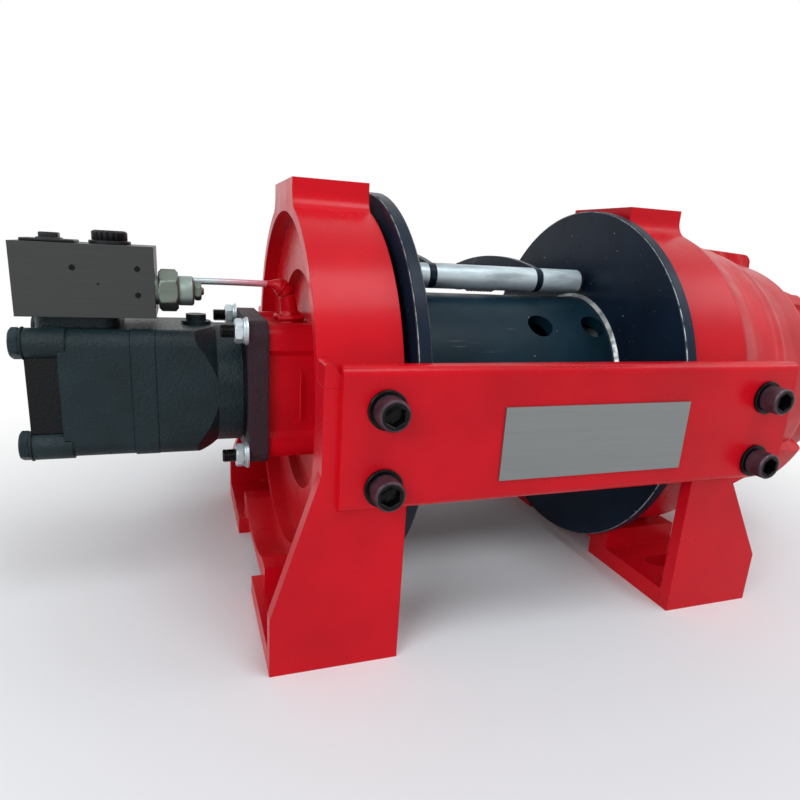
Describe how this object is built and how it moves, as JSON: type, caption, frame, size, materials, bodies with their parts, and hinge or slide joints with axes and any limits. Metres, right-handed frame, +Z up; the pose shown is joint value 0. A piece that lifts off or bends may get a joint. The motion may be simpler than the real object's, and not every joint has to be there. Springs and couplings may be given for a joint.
{
  "type": "hydraulic winch",
  "caption": "Hydraulic rope winch: flanged drum between two bracket stands, side motor with valve block, end gearbox and a sprung rope tensioner roller.",
  "frame": {"origin": "centre of the four foot slots on the mounting plane", "axes": "+X along the drum axis from the motor to the gearbox, -Y the front with the data plate, +Z up"},
  "size_m": [0.8585, 0.429, 0.381],
  "materials": {
    "red_paint": "glossy red enamel",
    "black_drum_steel": "satin black with scuffs",
    "motor_cast_iron": "dark semi-gloss paint on rough casting",
    "black_oxide_steel": "black oxide",
    "zinc_plated_steel": "bright zinc plate",
    "machined_steel": "fine milled grey steel",
    "brushed_plate": "brushed, bare",
    "black_plastic": "satin black"
  },
  "bodies": {
    "frame": {"left_ring_housing": "red_paint", "right_ring_housing": "red_paint", "left_leg_plates": "red_paint", "right_leg_plates": "red_paint", "left_base_plate": "red_paint", "right_base_plate": "red_paint", "front_tie_channel": "red_paint", "rear_tie_channel": "red_paint", "tie_cap_screws": "black_oxide_steel", "tie_screw_washers": "black_oxide_steel", "data_plate": "brushed_plate", "motor_adapter_hub": "red_paint", "motor_flange": "motor_cast_iron", "motor_studs": "black_oxide_steel", "motor_stud_nuts": "zinc_plated_steel", "motor_front_housing": "motor_cast_iron", "motor_gear_ring": "motor_cast_iron", "motor_end_bolt_bosses": "motor_cast_iron", "motor_rear_housing": "motor_cast_iron", "motor_port_riser": "motor_cast_iron", "valve_block": "machined_steel", "valve_cover_plate": "black_plastic", "valve_ribbed_cap": "black_plastic", "port_fitting": "zinc_plated_steel", "brake_tube": "zinc_plated_steel", "brake_elbow": "red_paint", "gearbox_shoulder": "red_paint", "gearbox_housing": "red_paint", "gearbox_end_cover": "red_paint", "gearbox_end_cap": "red_paint", "tensioner_shaft": "black_drum_steel", "tensioner_shaft_lugs": "red_paint", "tensioner_springs": "black_drum_steel"},
    "drum": {"drum_barrel": "black_drum_steel", "drum_left_flange": "black_drum_steel", "drum_right_flange": "black_drum_steel"},
    "tensioner": {"tensioner_left_arm": "black_drum_steel", "tensioner_right_arm": "black_drum_steel", "tensioner_tube": "black_drum_steel"},
    "roller": {"roller_axle": "black_oxide_steel", "roller_sleeves": "zinc_plated_steel"}
  },
  "joints": [
    {"name": "drum_spin", "type": "hinge", "parent": "frame", "child": "drum", "pos_m": [0, 0, 0.195], "axis": [1, 0, 0], "continuous": true},
    {"name": "tensioner_lift", "type": "hinge", "parent": "frame", "child": "tensioner", "pos_m": [0, 0.18, 0.295], "axis": [-1, 0, 0], "range_deg": [0, 22], "stiffness_Nm_per_rad": 20, "springref_deg": -28.65},
    {"name": "roller_spin", "type": "hinge", "parent": "tensioner", "child": "roller", "pos_m": [0, -0.008, 0.3025], "axis": [1, 0, 0], "continuous": true}
  ]
}
